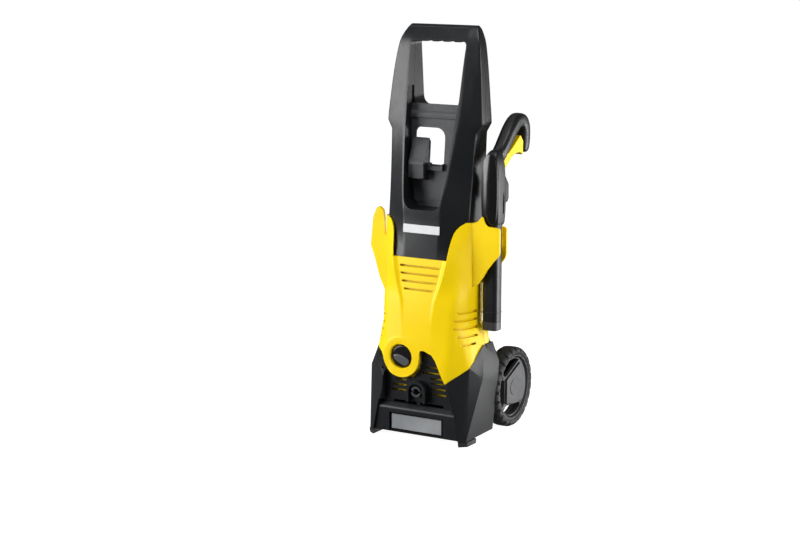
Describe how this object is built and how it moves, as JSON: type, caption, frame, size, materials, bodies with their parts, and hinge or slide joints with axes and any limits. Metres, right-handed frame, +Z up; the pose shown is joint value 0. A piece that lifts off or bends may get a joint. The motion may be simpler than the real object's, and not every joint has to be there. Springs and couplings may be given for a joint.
{
  "type": "pressure washer",
  "caption": "Upright electric pressure washer with a tall carrying handle, rear wheels, a rotary switch, a hose hook recess and a trigger gun in its holster.",
  "frame": {"origin": "middle of the object's bounding box on the floor", "axes": "+X to the gun's side, +Y from the front to the wheels, +Z up"},
  "size_m": [0.258, 0.229, 0.6725],
  "materials": {
    "yellow_plastic": "satin moulded, fine grain",
    "charcoal_plastic": "matte, fine spark-eroded grain",
    "gloss_black_plastic": "polished moulding",
    "grey_plastic": "matte moulding",
    "pale_label": "smooth printed film",
    "tyre_rubber": "matte rubber with moulded tread",
    "soft_rubber": "matte soft rubber",
    "steel": "turned steel",
    "aluminium": "die-cast",
    "brass": "turned brass",
    "copper_windings": "enamelled wire"
  },
  "bodies": {
    "machine": {"base_housing": "charcoal_plastic", "front_grille": "charcoal_plastic", "rating_plate": "pale_label", "rubber_feet": "soft_rubber", "axle": "steel", "axle_clips": "steel", "front_shell": "yellow_plastic", "rear_shell": "yellow_plastic", "left_holder": "yellow_plastic", "right_holster": "yellow_plastic", "tower_front": "charcoal_plastic", "tower_rear": "charcoal_plastic", "recess_panel": "charcoal_plastic", "grip_insert": "soft_rubber", "blank_badge": "pale_label", "switch_housing": "grey_plastic", "capacitor": "pale_label", "outlet_surround": "charcoal_plastic", "outlet_connector": "grey_plastic", "outlet_seal": "soft_rubber", "inlet_connector": "grey_plastic", "inlet_filter": "grey_plastic", "inlet_pipe": "grey_plastic", "cable_gland": "grey_plastic", "motor_shroud": "grey_plastic", "motor_stator": "steel", "motor_bearings": "steel", "motor_bracket": "grey_plastic", "brush_holders": "grey_plastic", "gearbox_housing": "aluminium", "pump_pistons": "steel", "piston_springs": "steel", "pump_head": "aluminium", "pump_valves": "brass", "body_screws": "steel"},
    "gun": {"gun_left_housing": "charcoal_plastic", "gun_right_housing": "charcoal_plastic", "gun_cover": "gloss_black_plastic", "gun_grip_inlay": "soft_rubber", "gun_barrel": "charcoal_plastic", "nozzle_socket": "charcoal_plastic", "trigger_pin": "steel", "trigger_spring": "steel", "hose_port": "brass", "gun_valve": "brass"},
    "trigger": {"trigger": "yellow_plastic"},
    "safety": {"safety_catch": "grey_plastic"},
    "hose_release": {"hose_button": "yellow_plastic"},
    "knob": {"switch_knob": "gloss_black_plastic", "switch_shaft": "grey_plastic"},
    "left_wheel": {"left_wheel_disc": "grey_plastic", "left_tyre": "tyre_rubber", "left_hub_cap": "grey_plastic"},
    "right_wheel": {"right_wheel_disc": "grey_plastic", "right_tyre": "tyre_rubber", "right_hub_cap": "grey_plastic"},
    "rotor": {"motor_rotor": "copper_windings", "motor_shaft": "steel", "cooling_fan": "grey_plastic", "wobble_plate": "aluminium"}
  },
  "joints": [
    {"name": "gun_lift", "type": "slide", "parent": "machine", "child": "gun", "axis": [0, 0, 1], "range_m": [0, 0.195]},
    {"name": "trigger_pull", "type": "hinge", "parent": "gun", "child": "trigger", "pos_m": [0.105, -0.0235, 0.469], "axis": [1, 0, 0], "range_deg": [0, 12], "stiffness_Nm_per_rad": 0.5, "springref_deg": -11.46},
    {"name": "safety_slide", "type": "slide", "parent": "gun", "child": "safety", "axis": [0, 0.7547, 0.6561], "range_m": [0, 0.003]},
    {"name": "hose_release", "type": "slide", "parent": "gun", "child": "hose_release", "axis": [0, -1, 0], "range_m": [0, 0.003], "stiffness_N_per_m": 500, "springref_m": -0.002},
    {"name": "power_switch", "type": "hinge", "parent": "machine", "child": "knob", "pos_m": [-0.028, -0.1095, 0.138], "axis": [0, 1, 0], "range_deg": [0, 90]},
    {"name": "left_wheel_spin", "type": "hinge", "parent": "machine", "child": "left_wheel", "pos_m": [-0.088, 0.047, 0.0675], "axis": [1, 0, 0], "continuous": true},
    {"name": "right_wheel_spin", "type": "hinge", "parent": "machine", "child": "right_wheel", "pos_m": [0.088, 0.047, 0.0675], "axis": [1, 0, 0], "continuous": true},
    {"name": "motor_spin", "type": "hinge", "parent": "machine", "child": "rotor", "pos_m": [0, -0.0495, 0.22], "axis": [0, 0, 1], "continuous": true}
  ]
}
